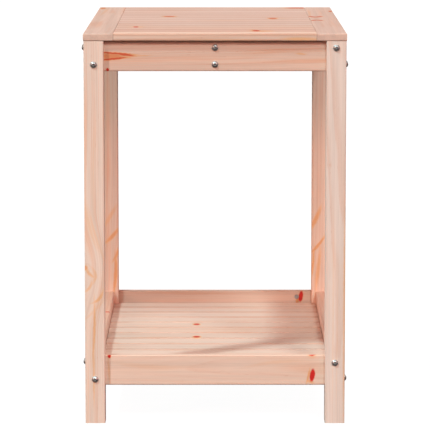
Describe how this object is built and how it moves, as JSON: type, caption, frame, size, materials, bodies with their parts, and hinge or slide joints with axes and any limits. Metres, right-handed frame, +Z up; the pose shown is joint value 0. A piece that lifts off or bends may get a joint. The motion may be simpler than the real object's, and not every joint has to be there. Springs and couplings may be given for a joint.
{
  "type": "potting bench",
  "caption": "Free-standing slatted wooden potting bench: square legs, bolted rail frames, a worktop of boards and a low slatted shelf.",
  "frame": {"origin": "on the ground, in the middle of the footprint", "axes": "+X to the right along the short side, +Y along the long side to the back, +Z up"},
  "size_m": [0.506, 0.831, 0.75],
  "materials": {
    "wood": "planed, bare",
    "zinc": "zinc plated"
  },
  "bodies": {
    "root": {"leg_front_left": "wood", "leg_front_right": "wood", "leg_back_left": "wood", "leg_back_right": "wood", "top_rail_front": "wood", "top_rail_back": "wood", "top_rail_left": "wood", "top_rail_right": "wood", "shelf_rail_front": "wood", "shelf_rail_back": "wood", "shelf_rail_left": "wood", "shelf_rail_right": "wood", "worktop_centre_rail": "wood", "worktop_side_board_left": "wood", "worktop_side_board_right": "wood", "worktop_batten_left": "wood", "worktop_batten_right": "wood", "shelf_batten_left": "wood", "shelf_batten_right": "wood", "worktop_slat_01": "wood", "worktop_slat_02": "wood", "worktop_slat_03": "wood", "worktop_slat_04": "wood", "worktop_slat_05": "wood", "worktop_slat_06": "wood", "worktop_slat_07": "wood", "worktop_slat_08": "wood", "worktop_slat_09": "wood", "worktop_slat_10": "wood", "worktop_slat_11": "wood", "worktop_slat_12": "wood", "worktop_slat_13": "wood", "worktop_slat_14": "wood", "shelf_slat_01": "wood", "shelf_slat_02": "wood", "shelf_slat_03": "wood", "shelf_slat_04": "wood", "shelf_slat_05": "wood", "shelf_slat_06": "wood", "shelf_slat_07": "wood", "shelf_slat_08": "wood", "shelf_slat_09": "wood", "shelf_slat_10": "wood", "shelf_slat_11": "wood", "shelf_slat_12": "wood", "top_frame_bolts": "zinc", "shelf_frame_bolts": "zinc", "centre_rail_bolts": "zinc", "top_frame_barrel_nuts": "zinc", "shelf_frame_barrel_nuts": "zinc", "centre_rail_barrel_nuts": "zinc", "worktop_batten_screws": "zinc", "centre_rail_screws": "zinc", "shelf_slat_screws": "zinc", "shelf_batten_screws": "zinc"}
  },
  "joints": []
}
